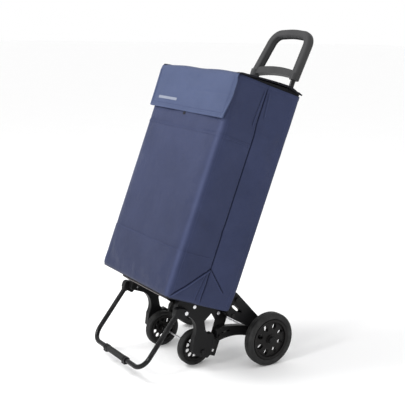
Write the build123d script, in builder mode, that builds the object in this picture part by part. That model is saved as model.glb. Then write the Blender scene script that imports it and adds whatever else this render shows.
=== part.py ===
from build123d import *
import os
from math import acos, atan2, cos, degrees, hypot, radians, sin

# Four-wheeled shopping trolley: a tall soft bag on a tubular frame that leans back on
# two large rear wheels and two small front wheels, with a folding foot loop in front.
#
# All sizes are millimetres. Places on the frame are given as (rearward, up) from the
# bag's lower front edge, square to the bag and along it. The whole frame then leans
# back until all four tyres touch the floor at Z = 0. +X is the right-hand side seen
# from the front of the bag, +Y points to the rear.

os.makedirs("parts", exist_ok=True)

# ---- bag
BAG_W = 380.0
BAG_D = 226.0
BAG_H = 636.0
BAG_RISE = 19.0
FABRIC_T = 2.5
BOARD_T = 3.0
BOARD_GAP = 4.0
LINING_H = 45.0
LINING_T = 1.0
STRAP_T = 1.5
STRAP_W = 30.0
STRAP_DROP = 60.0
LID_T = 3.0
LID_OVERHANG = 6.0
LID_DROP = 130.0
LID_LIFT = 3.5
LID_REACH = 4.0
LID_TUCK = 2.0
TAB_W = 14.0
TAB_T = 1.5
TAB_OUT = 12.0
TAB_IN = 40.0

# ---- frame tubes
TUBE_R = 7.5
TUBE_WALL = 1.2
TUBE_X = 97.0
TUBE_BEHIND_BAG = 33.0
TUBE_ABOVE_BAG = 76.0
tube_yl = BAG_D + TUBE_BEHIND_BAG

# ---- wheels and axles
REAR_WHEEL_R = 80.0
REAR_TYRE_W = 30.0
REAR_TYRE_DEPTH = 20.0
REAR_TYRE_ROUND = 8.0
REAR_TRACK = 400.0
REAR_AXLE_R = 4.0
REAR_AXLE = (tube_yl + 129.0, -45.6)
REAR_HUB_R = 14.0
REAR_WEB_T = 12.0
REAR_HOLES = 8
REAR_HOLE = (21.0, 14.0)
REAR_HOLE_RING = 39.0
REAR_CAP_R = 10.0
FRONT_WHEEL_R = 54.0
FRONT_TYRE_W = 23.0
FRONT_TYRE_DEPTH = 12.0
FRONT_TYRE_ROUND = 6.0
FRONT_TRACK = 182.0
FRONT_AXLE_R = 3.0
FRONT_AXLE = (tube_yl - 39.8, -133.8)
FRONT_HUB_R = 10.0
FRONT_WEB_T = 4.0
FRONT_HOLES = 10
FRONT_HOLE = (14.0, 12.0)
FRONT_HOLE_RING = 26.5
FRONT_CAP_R = 7.0
BUSH_WALL = 3.0
BUSH_SHORT = 0.6
RIM_BAND = 7.0
RIM_BEAD_R = 1.2
HUB_SHORT = 2.0
CAP_L = 6.0
CAP_GRIP = 4.0
CAP_ROUND = 2.0
SPACER_WALL = 4.0
THIN_SPACER_WALL = 3.5
COLLAR_L = 6.0

# ---- tray and brackets
PLATFORM_FRONT = 46.0
PLATFORM_W = 232.0
PLATFORM_FRONT_W = 264.0
PLATFORM_CORNER = 34.0
PLATFORM_BEHIND_TUBE = 22.0
SHEET_T = 2.0
FLANGE_FRONT = 10.0
FLANGE_REAR = 21.0
TRAY_DROP = 0.5
STRIP_T = 3.0
SOCKET_WALL = 3.5
CASTING_T = 19.0
UPPER_ARM_T = 20.0
UPPER_ARM_GAP = 6.0
ARM_PIVOT = (tube_yl, 38.0)
ARM_STAY = (tube_yl + 3.0, -10.0)
LOWER_BOLT = (tube_yl, -81.0)
BOLT_HEAD_R = 6.4
BOLT_HEAD_T = 5.0
SPARE_HOLE = (tube_yl + 10.0, -129.0)
SPARE_HOLE_R = 4.5
STRIP_RIVET = (tube_yl - 15.0, -18.0)
LEG_RIVET = (140.0, -13.0)
RIVET_R = 2.5
RIVET_HEAD_R = 5.5
RIVET_HEAD_T = 2.5
ARM_SLOT_L = 30.0
ARM_SLOT_W = 6.5
ARM_SLOT_TURN = 27.0
ARM_LENS = (22.0, 5.0)
ARM_LENS_TURN = -17.0
ARM_TIP_R = 19.0
UPPER_ARM_BOSS_R = 14.0

# ---- foot loop
LOOP_TUBE_R = 7.0
LOOP_WALL = 1.2
LOOP_TOP = (84.4, -38.5)
LOOP_BOTTOM = (27.8, -216.2)
LOOP_BEND_R = 40.0
FOOT_PIVOT = (105.0, -33.0)
FOOT_PIN_R = 3.0
HINGE_T = 19.0
HINGE_R = 11.0
HINGE_SLEEVE_L = 17.0
HINGE_SLEEVE_WALL = 2.2
HINGE_BORE_L = 60.0
CLIP_X = 55.0
CLIP_W = 17.0
CLIP_WALL = 3.0
CLIP_GROOVE = 3.0
SLEEVE_WALL = 1.6
SOLE_BELOW = 1.0

# ---- handle
HANDLE_LEAN = 9.4
HANDLE_BEHIND_TUBE = 2.0
HANDLE_OVERLAP = 12.0
GRIP_W = 27.0
GRIP_D = 25.0
GRIP_ROUND = 9.0
GRIP_RISE = 149.0
GRIP_HALF_W = 83.0
GRIP_BEND_R = 36.0
GRIP_ARCH = 7.0
GRIP_ARCH_R = 300.0
GRIP_RECESS = 5.0
GRIP_LIP = 4.0
FERRULE_WALL = 5.5
FERRULE_L = 20.0
FERRULE_OVERLAP = 14.0
CROSSBAR_RISE = 2.0
CROSSBAR_H = 22.0
CROSSBAR_D = 18.0
CROSSBAR_ARCH = 9.0

# ---- clearances and softened edges
SLIP = 0.05
RUN = 0.06
GAP = 0.4
EDGE_R = 1.5
CORNER_R = 3.0
CHAMFER = 1.0
ROD_CHAMFER = 0.6
HEAD_ROUND = 0.9

# ---- the lean that puts both pairs of tyres on the floor
axle_run = REAR_AXLE[0] - FRONT_AXLE[0]
axle_rise = REAR_AXLE[1] - FRONT_AXLE[1]
radius_step = REAR_WHEEL_R - FRONT_WHEEL_R
lean = acos(radius_step / hypot(axle_run, axle_rise)) - atan2(axle_run, axle_rise)
UP = Vector(0, sin(lean), cos(lean))
BACK = Vector(0, cos(lean), -sin(lean))

# ---- places that follow from the sizes
tube_top = BAG_H + TUBE_ABOVE_BAG
flange_x = PLATFORM_W / 2
strip_x = flange_x + STRIP_T / 2
casting_x = flange_x + STRIP_T + CASTING_T / 2
casting_out = casting_x + CASTING_T / 2
upper_arm_x = casting_out + UPPER_ARM_GAP + UPPER_ARM_T / 2
upper_arm_out = upper_arm_x + UPPER_ARM_T / 2
hinge_x = casting_out + GAP + HINGE_T / 2
platform_rear = tube_yl + PLATFORM_BEHIND_TUBE
clip_r = LOOP_TUBE_R + CLIP_WALL
sole_d = clip_r + SOLE_BELOW
grip_lean = lean + radians(HANDLE_LEAN)
handle_foot = (tube_yl + HANDLE_BEHIND_TUBE, tube_top - HANDLE_OVERLAP)


def lie(yl, zl):
    """Floor-frame (y, z) of a place on the frame, before the origin is centred."""
    return (yl * BACK.Y + zl * UP.Y, yl * BACK.Z + zl * UP.Z)


# ---- origin: on the floor, in the middle of the overall length
frame_z = FRONT_WHEEL_R - lie(*FRONT_AXLE)[1]
front_end = lie(*LOOP_BOTTOM)[0] - sole_d
arch_turn = atan2(GRIP_ARCH, GRIP_HALF_W)
grip_crest = GRIP_RISE - GRIP_ARCH_R * (1 / cos(arch_turn) - 1)
grip_y = lie(*handle_foot)[0] + grip_crest * sin(grip_lean)
grip_half = (GRIP_D / 2 - GRIP_ROUND) * cos(grip_lean) + (GRIP_W / 2 - GRIP_ROUND) * sin(grip_lean)
rear_end = grip_y + grip_half + GRIP_ROUND
frame_y = -(front_end + rear_end) / 2


def at(x, place):
    y, z = lie(*place)
    return Vector(x, frame_y + y, frame_z + z)


def side(x):
    """Plane across the trolley at x, drawn in (rearward, up) of the bag."""
    return Plane(origin=at(x, (0, 0)), x_dir=BACK, z_dir=(1, 0, 0))


def deck(zl):
    """Plane square to the tubes at height zl, drawn in (x, rearward)."""
    return Plane(origin=at(0, (0, zl)), x_dir=(1, 0, 0), z_dir=UP)


def disc(x, place):
    """Plane across the trolley centred on an axle, pin or bolt."""
    return Plane(origin=at(x, place), x_dir=BACK, z_dir=(1, 0, 0))


def spun(x, place):
    """Plane through an axle, drawn in (along the axle, away from it)."""
    return Plane(origin=at(x, place), x_dir=(1, 0, 0), z_dir=(0, -1, 0))


def rod(name, place, radius, half_length):
    """A plain round bar across the trolley, with softened ends."""
    with BuildPart() as bar:
        with BuildSketch(disc(0, place)):
            Circle(radius)
        extrude(amount=half_length, both=True)
        chamfer(bar.edges(), ROD_CHAMFER)
    save(bar, name)


def save(piece, name):
    piece.part.label = name
    export_step(piece.part, f"parts/{name}.step")


def face_rims(piece):
    """The rims of a flat piece's two side faces."""
    faces = piece.faces().sort_by(Axis.X)
    return faces[0].edges() + faces[-1].edges()


SIDES = {"left": -1, "right": 1}

# =============================================================== wheels


def tyre(name, x, place, radius, seat, width, shoulder):
    """Rubber tyre with a rounded crown, rounded shoulders and two fine grooves."""
    groove_x, groove_w, groove_d = width / 6, 1.4, 1.2
    with BuildPart() as ring:
        with BuildSketch(spun(x, place)) as section:
            with Locations((0, (radius + seat) / 2)):
                Rectangle(width, radius - seat)
            crown = section.vertices().group_by(Axis.Z)[-1]
            fillet(crown, shoulder)
            for groove in (-groove_x, groove_x):
                with Locations((groove, radius)):
                    Rectangle(groove_w, 2 * groove_d, mode=Mode.SUBTRACT)
        revolve(axis=Axis(at(x, place), (1, 0, 0)))
    save(ring, name)


def rim(name, sign, x, place, seat, width, web, axle_r, hub_r, holes, hole_ring, hole_size):
    """Moulded wheel centre: hub, slightly dished web with oval holes, and a lipped band."""
    bore = axle_r + RUN + BUSH_WALL
    hub_l = width - HUB_SHORT
    band_r = seat - RIM_BAND
    dish_hub, dish_band = 0.12 * width * sign, 0.05 * width * sign
    with BuildPart() as centre:
        with BuildSketch(spun(x, place)):
            with Locations((0, (bore + hub_r) / 2)):
                Rectangle(hub_l, hub_r - bore)
            with Locations((0, seat - RIM_BAND / 2)):
                Rectangle(width - 2 * HUB_SHORT, RIM_BAND)
            with BuildLine():
                Polyline(
                    (dish_hub - web / 2, hub_r - 1),
                    (dish_hub + web / 2, hub_r - 1),
                    (dish_band + web / 2, band_r + 1),
                    (dish_band - web / 2, band_r + 1),
                    close=True,
                )
            make_face()
            with Locations((dish_band + sign * web / 2, band_r - RIM_BAND / 2)):
                Circle(RIM_BEAD_R)
        revolve(axis=Axis(at(x, place), (1, 0, 0)))
        with BuildSketch(disc(x, place)):
            with PolarLocations(hole_ring, holes):
                Ellipse(hole_size[0] / 2, hole_size[1] / 2)
        extrude(amount=width, both=True, mode=Mode.SUBTRACT)
    save(centre, name)


def bush(name, x, place, width, axle_r):
    """Plain bearing bush, pressed in the hub and running on the axle."""
    with BuildPart() as sleeve:
        with BuildSketch(disc(x, place)):
            Circle(axle_r + RUN + BUSH_WALL)
            Circle(axle_r + RUN, mode=Mode.SUBTRACT)
        extrude(amount=width / 2 - BUSH_SHORT, both=True)
    save(sleeve, name)


def end_caps(name, place, axle_r, inner_x, cap_r):
    """Domed push-on caps on both ends of an axle."""
    with BuildPart() as caps:
        for sign in SIDES.values():
            with BuildSketch(disc(sign * (inner_x + CAP_L / 2), place)):
                Circle(cap_r)
            extrude(amount=CAP_L / 2, both=True)
            with BuildSketch(disc(sign * inner_x, place)):
                Circle(axle_r)
            extrude(amount=CAP_GRIP, both=True, mode=Mode.SUBTRACT)
        outer = caps.edges().filter_by(GeomType.CIRCLE).group_by(Axis.X)
        fillet([edge for ring in (outer[0], outer[-1]) for edge in ring], CAP_ROUND)
    save(caps, name)


def sleeves(name, stack):
    """Round spacers and washers: (place, inner x, outer x, bore, radius), on both sides."""
    with BuildPart() as rings:
        for place, inner, outer, bore, radius in stack:
            for sign in SIDES.values():
                with BuildSketch(disc(sign * (inner + outer) / 2, place)):
                    Circle(radius)
                    Circle(bore, mode=Mode.SUBTRACT)
                extrude(amount=(outer - inner) / 2, both=True)
    save(rings, name)


rear_seat = REAR_WHEEL_R - REAR_TYRE_DEPTH
front_seat = FRONT_WHEEL_R - FRONT_TYRE_DEPTH
for word, sign in SIDES.items():
    x = sign * REAR_TRACK / 2
    tyre(f"rear_tyre_{word}", x, REAR_AXLE, REAR_WHEEL_R, rear_seat, REAR_TYRE_W, REAR_TYRE_ROUND)
    rim(f"rear_rim_{word}", sign, x, REAR_AXLE, rear_seat, REAR_TYRE_W, REAR_WEB_T, REAR_AXLE_R,
        REAR_HUB_R, REAR_HOLES, REAR_HOLE_RING, REAR_HOLE)
    bush(f"rear_bush_{word}", x, REAR_AXLE, REAR_TYRE_W, REAR_AXLE_R)
    x = sign * FRONT_TRACK / 2
    tyre(f"front_tyre_{word}", x, FRONT_AXLE, FRONT_WHEEL_R, front_seat, FRONT_TYRE_W, FRONT_TYRE_ROUND)
    rim(f"front_rim_{word}", sign, x, FRONT_AXLE, front_seat, FRONT_TYRE_W, FRONT_WEB_T, FRONT_AXLE_R,
        FRONT_HUB_R, FRONT_HOLES, FRONT_HOLE_RING, FRONT_HOLE)
    bush(f"front_bush_{word}", x, FRONT_AXLE, FRONT_TYRE_W, FRONT_AXLE_R)

rear_cap_x = REAR_TRACK / 2 + REAR_TYRE_W / 2
rod("rear_axle", REAR_AXLE, REAR_AXLE_R, rear_cap_x + CAP_GRIP)
end_caps("rear_axle_caps", REAR_AXLE, REAR_AXLE_R, rear_cap_x, REAR_CAP_R)
rod("front_axle", FRONT_AXLE, FRONT_AXLE_R, casting_out + CAP_GRIP)
end_caps("front_axle_caps", FRONT_AXLE, FRONT_AXLE_R, casting_out, FRONT_CAP_R)

rear_hub_in = REAR_TRACK / 2 - REAR_TYRE_W / 2
front_hub_in = FRONT_TRACK / 2 - FRONT_TYRE_W / 2
front_hub_out = FRONT_TRACK / 2 + FRONT_TYRE_W / 2
spacer_r = REAR_AXLE_R + SPACER_WALL
thin_spacer_r = FRONT_AXLE_R + THIN_SPACER_WALL
sleeves("rear_axle_spacers", [
    (REAR_AXLE, casting_out, casting_out + UPPER_ARM_GAP, REAR_AXLE_R, spacer_r),
    (REAR_AXLE, upper_arm_out, rear_hub_in, REAR_AXLE_R, spacer_r),
])
sleeves("front_axle_spacers", [
    (FRONT_AXLE, front_hub_out, casting_out - CASTING_T, FRONT_AXLE_R, thin_spacer_r),
    (FRONT_AXLE, front_hub_in - COLLAR_L, front_hub_in, FRONT_AXLE_R, thin_spacer_r),
])

# =============================================================== platform and brackets

# Pressed steel tray under the bag, with flanges that deepen towards the rear.
tray_corner = PLATFORM_FRONT + PLATFORM_CORNER
half_front = PLATFORM_FRONT_W / 2
tray_plan = [
    (-half_front, PLATFORM_FRONT),
    (half_front, PLATFORM_FRONT),
    (flange_x, tray_corner),
    (flange_x, platform_rear),
    (-flange_x, platform_rear),
    (-flange_x, tray_corner),
]
tray_side = [
    (PLATFORM_FRONT - 1, 0),
    (platform_rear + 1, 0),
    (platform_rear + 1, -FLANGE_REAR),
    (tray_corner, -FLANGE_REAR),
    (PLATFORM_FRONT - 1, -FLANGE_FRONT),
]
with BuildPart() as platform:
    with BuildSketch(deck(-TRAY_DROP)):
        with BuildLine():
            Polyline(*tray_plan, close=True)
        make_face()
    extrude(amount=-FLANGE_REAR)
    fillet(platform.edges().filter_by(lambda e: abs(e.tangent_at(0.5).dot(UP)) > 0.99), 2 * SHEET_T)
    with BuildSketch(side(0)):
        with BuildLine():
            Polyline(*tray_side, close=True)
        make_face()
    extrude(amount=max(flange_x, half_front), both=True, mode=Mode.INTERSECT)
    with BuildSketch(deck(-TRAY_DROP - SHEET_T)):
        with BuildLine():
            Polyline(*tray_plan, close=True)
        make_face()
        offset(amount=-SHEET_T)
    extrude(amount=-2 * FLANGE_REAR, mode=Mode.SUBTRACT)
    with BuildSketch(deck(0)):
        with Locations((-TUBE_X, tube_yl), (TUBE_X, tube_yl)):
            Circle(TUBE_R + SLIP)
    extrude(amount=-4 * SHEET_T, mode=Mode.SUBTRACT)
    for place, radius in ((STRIP_RIVET, RIVET_R), (LEG_RIVET, RIVET_R), (ARM_STAY, REAR_AXLE_R)):
        with BuildSketch(disc(0, place)):
            Circle(radius)
        extrude(amount=PLATFORM_W, both=True, mode=Mode.SUBTRACT)
save(platform, "platform")



def from_place(place, *offsets):
    """Corners of an outline, given as steps away from a bolt, an axle or a pivot."""
    return [(place[0] + back, place[1] + rise) for back, rise in offsets]


bracket_outline = [
    (tube_yl - 47, -TRAY_DROP),
    (tube_yl + 20, -TRAY_DROP),
    *from_place(SPARE_HOLE, (12, -15), (-14, -15)),
    *from_place(LOWER_BOLT, (-16, 5)),
    *from_place(STRIP_RIVET, (-3, -21), (-23, -5)),
]
leg_front = from_place(FOOT_PIVOT, (23, -11), (-17, -11), (-21, -5), (-21, 29))
leg_rear = from_place(
    FRONT_AXLE,
    (-7.2, 129.8), (-12.2, 114.8), (-28.2, 86.8), (-14.2, 62.8), (-1.2, 51.8), (11.8, 58.8), (21.8, 53.8),
    (26.8, 37.8), (31.8, -2.2), (23.8, -16.2), (-16.2, -16.2), (-35.2, -6.2), (-44.2, 29.8),
)
leg_arch = from_place(FRONT_AXLE, (-57.2, 74.8))[0]
arm_root = from_place(LOWER_BOLT, (-6, -7), (-11, 11), (-7, 25), (6, 31), (5, -13))
arm_bow_high, arm_bow_low = from_place(REAR_AXLE, (-70, 8.6), (-70, -22.4))
arm_end_high, arm_end_tip, arm_end_low = from_place(
    REAR_AXLE, (0, ARM_TIP_R), (ARM_TIP_R, 0), (0, -ARM_TIP_R)
)
upper_arm_shoulder = from_place(REAR_AXLE, (-15, 24.6))[0]
upper_arm_rounds = [
    (ARM_PIVOT, 14.5),
    (from_place(ARM_PIVOT, (-12, 5.5))[0], 15.0),
    (ARM_STAY, 8.0),
    (upper_arm_shoulder, 16.5),
]
upper_arm_neck = from_place(REAR_AXLE, (-11, 21.6))[0]
slot_place = from_place(LOWER_BOLT, (18, 18))[0]
lens_place = from_place(ARM_PIVOT, (10, -26))[0]

for word, sign in SIDES.items():
    # Flat side bracket, riveted to the tray: it carries the lower rear arm.
    with BuildPart() as strip:
        with BuildSketch(side(sign * strip_x)):
            with BuildLine():
                Polyline(*bracket_outline, close=True)
            make_face()
        extrude(amount=STRIP_T / 2, both=True)
        fillet(strip.edges().filter_by(Axis.X), CORNER_R)
        bolt_holes = (
            (STRIP_RIVET, RIVET_R),
            (ARM_STAY, REAR_AXLE_R),
            (LOWER_BOLT, REAR_AXLE_R),
            (SPARE_HOLE, SPARE_HOLE_R),
        )
        for place, radius in bolt_holes:
            with BuildSketch(disc(sign * strip_x, place)):
                Circle(radius)
            extrude(amount=STRIP_T, both=True, mode=Mode.SUBTRACT)
    save(strip, f"side_bracket_{word}")

    # Moulded leg: an arch under the tray that drops to the small wheels' axle.
    with BuildPart() as leg:
        with BuildSketch(side(sign * casting_x)):
            with BuildLine():
                Polyline(*leg_front, *leg_rear)
                ThreePointArc(leg_rear[-1], leg_arch, leg_front[0])
            make_face()
        extrude(amount=CASTING_T / 2, both=True)
        fillet(leg.edges().filter_by(Axis.X), CORNER_R)
        fillet(face_rims(leg), EDGE_R)
        for place, radius in ((LEG_RIVET, RIVET_R), (FOOT_PIVOT, FOOT_PIN_R), (FRONT_AXLE, FRONT_AXLE_R)):
            with BuildSketch(disc(sign * casting_x, place)):
                Circle(radius)
            extrude(amount=CASTING_T, both=True, mode=Mode.SUBTRACT)
    save(leg, f"front_leg_{word}")

    # Lower rear arm: a slotted, slightly arched link from the bracket to the rear axle.
    with BuildPart() as lower_arm:
        with BuildSketch(side(sign * casting_x)):
            with BuildLine():
                Line(arm_root[0], arm_root[1])
                ThreePointArc(*arm_root[1:4])
                ThreePointArc(arm_root[3], arm_bow_high, arm_end_high)
                ThreePointArc(arm_end_high, arm_end_tip, arm_end_low)
                ThreePointArc(arm_end_low, arm_bow_low, arm_root[4])
                Line(arm_root[4], arm_root[0])
            make_face()
        extrude(amount=CASTING_T / 2, both=True)
        fillet(lower_arm.edges().filter_by(Axis.X), CORNER_R)
        chamfer(face_rims(lower_arm), CHAMFER)
        with BuildSketch(side(sign * casting_x)):
            with Locations(slot_place):
                SlotOverall(ARM_SLOT_L, ARM_SLOT_W, rotation=ARM_SLOT_TURN)
        extrude(amount=CASTING_T, both=True, mode=Mode.SUBTRACT)
        for place, radius in ((LOWER_BOLT, REAR_AXLE_R), (REAR_AXLE, REAR_AXLE_R)):
            with BuildSketch(disc(sign * casting_x, place)):
                Circle(radius)
            extrude(amount=CASTING_T, both=True, mode=Mode.SUBTRACT)
    save(lower_arm, f"lower_arm_{word}")

    # Upper rear arm: a broad tapering arm with a lens-shaped opening near its root.
    with BuildPart() as upper_arm:
        with BuildSketch(side(sign * upper_arm_x)):
            with BuildSketch(mode=Mode.PRIVATE) as blade:
                for place, radius in upper_arm_rounds:
                    with Locations(place):
                        Circle(radius)
                make_hull()
            with BuildSketch(mode=Mode.PRIVATE) as boss:
                for place in (upper_arm_neck, REAR_AXLE):
                    with Locations(place):
                        Circle(UPPER_ARM_BOSS_R)
                make_hull()
            add(blade.sketch)
            add(boss.sketch)
        extrude(amount=UPPER_ARM_T / 2, both=True)
        fillet(face_rims(upper_arm), EDGE_R)
        with BuildSketch(side(sign * upper_arm_x)):
            with Locations(lens_place):
                Ellipse(*ARM_LENS, rotation=ARM_LENS_TURN)
        extrude(amount=UPPER_ARM_T, both=True, mode=Mode.SUBTRACT)
        for place in (ARM_PIVOT, ARM_STAY, REAR_AXLE):
            with BuildSketch(disc(sign * upper_arm_x, place)):
                Circle(REAR_AXLE_R)
            extrude(amount=UPPER_ARM_T, both=True, mode=Mode.SUBTRACT)
    save(upper_arm, f"upper_arm_{word}")

rod("arm_pivot_rod", ARM_PIVOT, REAR_AXLE_R, upper_arm_out + CAP_GRIP)
end_caps("arm_pivot_caps", ARM_PIVOT, REAR_AXLE_R, upper_arm_out, spacer_r)
sleeves("arm_spacers", [
    (ARM_PIVOT, TUBE_X + TUBE_R, upper_arm_out - UPPER_ARM_T, REAR_AXLE_R, spacer_r),
    (ARM_STAY, flange_x + STRIP_T, upper_arm_out - UPPER_ARM_T, REAR_AXLE_R, spacer_r),
])

# Hexagon-headed bolts that hold the arms to the side brackets.
with BuildPart() as arm_bolts:
    for place, inner, outer in (
        (ARM_STAY, flange_x - SHEET_T, upper_arm_out),
        (LOWER_BOLT, flange_x, casting_out),
    ):
        for sign in SIDES.values():
            with BuildSketch(disc(sign * (inner + outer) / 2, place)):
                Circle(REAR_AXLE_R)
            extrude(amount=(outer - inner + BOLT_HEAD_T) / 2, both=True)
            for end in (inner - BOLT_HEAD_T / 2, outer + BOLT_HEAD_T / 2):
                with BuildSketch(disc(sign * end, place)):
                    RegularPolygon(BOLT_HEAD_R, 6)
                extrude(amount=BOLT_HEAD_T / 2, both=True)
save(arm_bolts, "arm_bolts")

# Round-headed rivets through the tray's side flanges.
with BuildPart() as rivets:
    for place, outer in ((STRIP_RIVET, flange_x + STRIP_T), (LEG_RIVET, casting_out)):
        inner = flange_x - SHEET_T
        for sign in SIDES.values():
            with BuildSketch(disc(sign * (inner + outer) / 2, place)):
                Circle(RIVET_R)
            extrude(amount=(outer - inner) / 2, both=True)
            for end in (inner - RIVET_HEAD_T / 2, outer + RIVET_HEAD_T / 2):
                with BuildSketch(disc(sign * end, place)):
                    Circle(RIVET_HEAD_R)
                extrude(amount=RIVET_HEAD_T / 2, both=True)
    heads = rivets.edges().filter_by(GeomType.CIRCLE).filter_by(lambda e: e.radius > RIVET_R + 1)
    fillet(heads, HEAD_ROUND)
save(rivets, "rivets")

# =============================================================== frame tubes and handle

for word, sign in SIDES.items():
    x = sign * TUBE_X
    with BuildPart() as tube:
        with BuildSketch(deck(SHEET_T - FLANGE_REAR)):
            with Locations((x, tube_yl)):
                Circle(TUBE_R)
                Circle(TUBE_R - TUBE_WALL, mode=Mode.SUBTRACT)
        extrude(amount=tube_top + FLANGE_REAR - SHEET_T)
        with BuildSketch(disc(x, ARM_PIVOT)):
            Circle(REAR_AXLE_R + SLIP)
        extrude(amount=2 * TUBE_R, both=True, mode=Mode.SUBTRACT)
    save(tube, f"frame_tube_{word}")

    with BuildPart() as socket:
        with BuildSketch(deck(-TRAY_DROP - SHEET_T)):
            with Locations((x, tube_yl)):
                Circle(TUBE_R + SOCKET_WALL)
                Circle(TUBE_R + SLIP, mode=Mode.SUBTRACT)
        extrude(amount=-(FLANGE_REAR - TRAY_DROP - 2 * SHEET_T))
    save(socket, f"tube_socket_{word}")

HANDLE_UP = Vector(0, sin(grip_lean), cos(grip_lean))
HANDLE_BACK = Vector(0, cos(grip_lean), -sin(grip_lean))
handle_plane = Plane(origin=at(0, handle_foot), x_dir=(1, 0, 0), z_dir=-HANDLE_BACK)

# Moulded handle: a D-shaped loop, an arched crossbar and two ferrules for the tubes.
with BuildPart() as handle:
    with BuildLine(handle_plane) as grip_line:
        FilletPolyline(
            (-TUBE_X, 0),
            (-GRIP_HALF_W, GRIP_RISE - GRIP_ARCH),
            (0, GRIP_RISE),
            (GRIP_HALF_W, GRIP_RISE - GRIP_ARCH),
            (TUBE_X, 0),
            radius=[GRIP_BEND_R, GRIP_ARCH_R, GRIP_BEND_R],
        )
    grip_end = Plane(origin=grip_line.line @ 0, x_dir=HANDLE_BACK, z_dir=grip_line.line % 0)
    with BuildSketch(grip_end):
        RectangleRounded(GRIP_D, GRIP_W, GRIP_ROUND)
    sweep()
    inward = 1 if grip_end.y_dir.X > 0 else -1
    with BuildSketch(grip_end):
        with Locations((0, inward * GRIP_W / 2)):
            Rectangle(GRIP_D - 2 * GRIP_LIP, 2 * GRIP_RECESS)
    sweep(path=grip_line.line, mode=Mode.SUBTRACT)
    with BuildSketch(handle_plane):
        with BuildLine():
            low, high = CROSSBAR_RISE, CROSSBAR_RISE + CROSSBAR_H
            ThreePointArc((-TUBE_X, low), (0, low + CROSSBAR_ARCH), (TUBE_X, low))
            Line((TUBE_X, low), (TUBE_X, high))
            ThreePointArc((TUBE_X, high), (0, high + CROSSBAR_ARCH), (-TUBE_X, high))
            Line((-TUBE_X, high), (-TUBE_X, low))
        make_face()
    extrude(amount=CROSSBAR_D / 2, both=True)
    for sign in SIDES.values():
        with BuildSketch(deck(tube_top - FERRULE_OVERLAP)):
            with Locations((sign * TUBE_X, tube_yl)):
                Circle(TUBE_R + FERRULE_WALL)
        extrude(amount=FERRULE_L)
        with BuildSketch(deck(tube_top)):
            with Locations((sign * TUBE_X, tube_yl)):
                Circle(TUBE_R + SLIP)
        extrude(amount=-2 * FERRULE_L, mode=Mode.SUBTRACT)
save(handle, "handle")

# =============================================================== foot loop

loop_run = Vector(0, *[b - a for a, b in zip(lie(*LOOP_TOP), lie(*LOOP_BOTTOM))])
loop_l = loop_run.length
loop_up = -loop_run.normalized()
loop_plane = Plane(origin=at(0, LOOP_TOP), x_dir=(1, 0, 0), z_dir=Vector(1, 0, 0).cross(loop_up))

with BuildPart() as foot_loop:
    with BuildLine(loop_plane) as loop_line:
        FilletPolyline(
            (-hinge_x, 0),
            (-hinge_x, -loop_l),
            (hinge_x, -loop_l),
            (hinge_x, 0),
            radius=LOOP_BEND_R,
        )
    with BuildSketch(Plane(origin=loop_line.line @ 0, z_dir=loop_line.line % 0)):
        Circle(LOOP_TUBE_R)
        Circle(LOOP_TUBE_R - LOOP_WALL, mode=Mode.SUBTRACT)
    sweep()
save(foot_loop, "foot_loop")

# The parked trolley stands on the small wheels and on the soles of the two clips.
park_run = FRONT_AXLE[0] - LOOP_BOTTOM[0]
park_rise = FRONT_AXLE[1] - LOOP_BOTTOM[1]
park_angle = atan2(park_rise, park_run) - atan2(FRONT_WHEEL_R - sole_d, hypot(park_run, park_rise))

hinge_rounds = [
    (FOOT_PIVOT, HINGE_R),
    (from_place(LOOP_TOP, (-2, 4))[0], HINGE_R),
    (from_place(LOOP_TOP, (-3, -3))[0], HINGE_R - 1),
    (from_place(FOOT_PIVOT, (-2, -18))[0], HINGE_R - 6.5),
]

for word, sign in SIDES.items():
    with BuildPart() as hinge:
        with BuildSketch(side(sign * hinge_x)):
            for place, radius in hinge_rounds:
                with Locations(place):
                    Circle(radius)
            make_hull()
        extrude(amount=HINGE_T / 2, both=True)
        fillet(face_rims(hinge), EDGE_R)
        loop_end = Plane(origin=at(sign * hinge_x, LOOP_TOP), z_dir=-loop_up)
        with BuildSketch(loop_end):
            Circle(LOOP_TUBE_R + HINGE_SLEEVE_WALL)
        extrude(amount=HINGE_SLEEVE_L)
        with BuildSketch(loop_end):
            Circle(LOOP_TUBE_R)
        extrude(amount=HINGE_BORE_L, mode=Mode.SUBTRACT)
        with BuildSketch(disc(sign * hinge_x, FOOT_PIVOT)):
            Circle(FOOT_PIN_R + RUN)
        extrude(amount=HINGE_T, both=True, mode=Mode.SUBTRACT)
    save(hinge, f"foot_hinge_{word}")

    # Push-fit foot with a flat sole.
    with BuildPart() as clip:
        bar = Plane(origin=at(sign * CLIP_X, LOOP_BOTTOM), x_dir=BACK, z_dir=(1, 0, 0))
        with BuildSketch(bar):
            Circle(clip_r)
            with Locations(Location((0, 0, 0), (0, 0, degrees(park_angle)))):
                with Locations((0, -sole_d / 2)):
                    Rectangle(1.5 * clip_r, sole_d)
            Circle(LOOP_TUBE_R, mode=Mode.SUBTRACT)
        extrude(amount=CLIP_W / 2, both=True)
        with BuildSketch(bar):
            Circle(clip_r + SOLE_BELOW)
            Circle(LOOP_TUBE_R + SLEEVE_WALL, mode=Mode.SUBTRACT)
            with Locations(Location((0, 0, 0), (0, 0, degrees(park_angle)))):
                with Locations((0, -clip_r)):
                    Rectangle(3 * clip_r, 2 * clip_r - LOOP_TUBE_R, mode=Mode.SUBTRACT)
        extrude(amount=CLIP_GROOVE / 2, both=True, mode=Mode.SUBTRACT)
    save(clip, f"foot_clip_{word}")

with BuildPart() as foot_sleeve:
    with BuildSketch(disc(0, LOOP_BOTTOM)):
        Circle(LOOP_TUBE_R + SLEEVE_WALL)
        Circle(LOOP_TUBE_R, mode=Mode.SUBTRACT)
    extrude(amount=CLIP_X - CLIP_W / 2, both=True)
save(foot_sleeve, "foot_sleeve")

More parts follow.
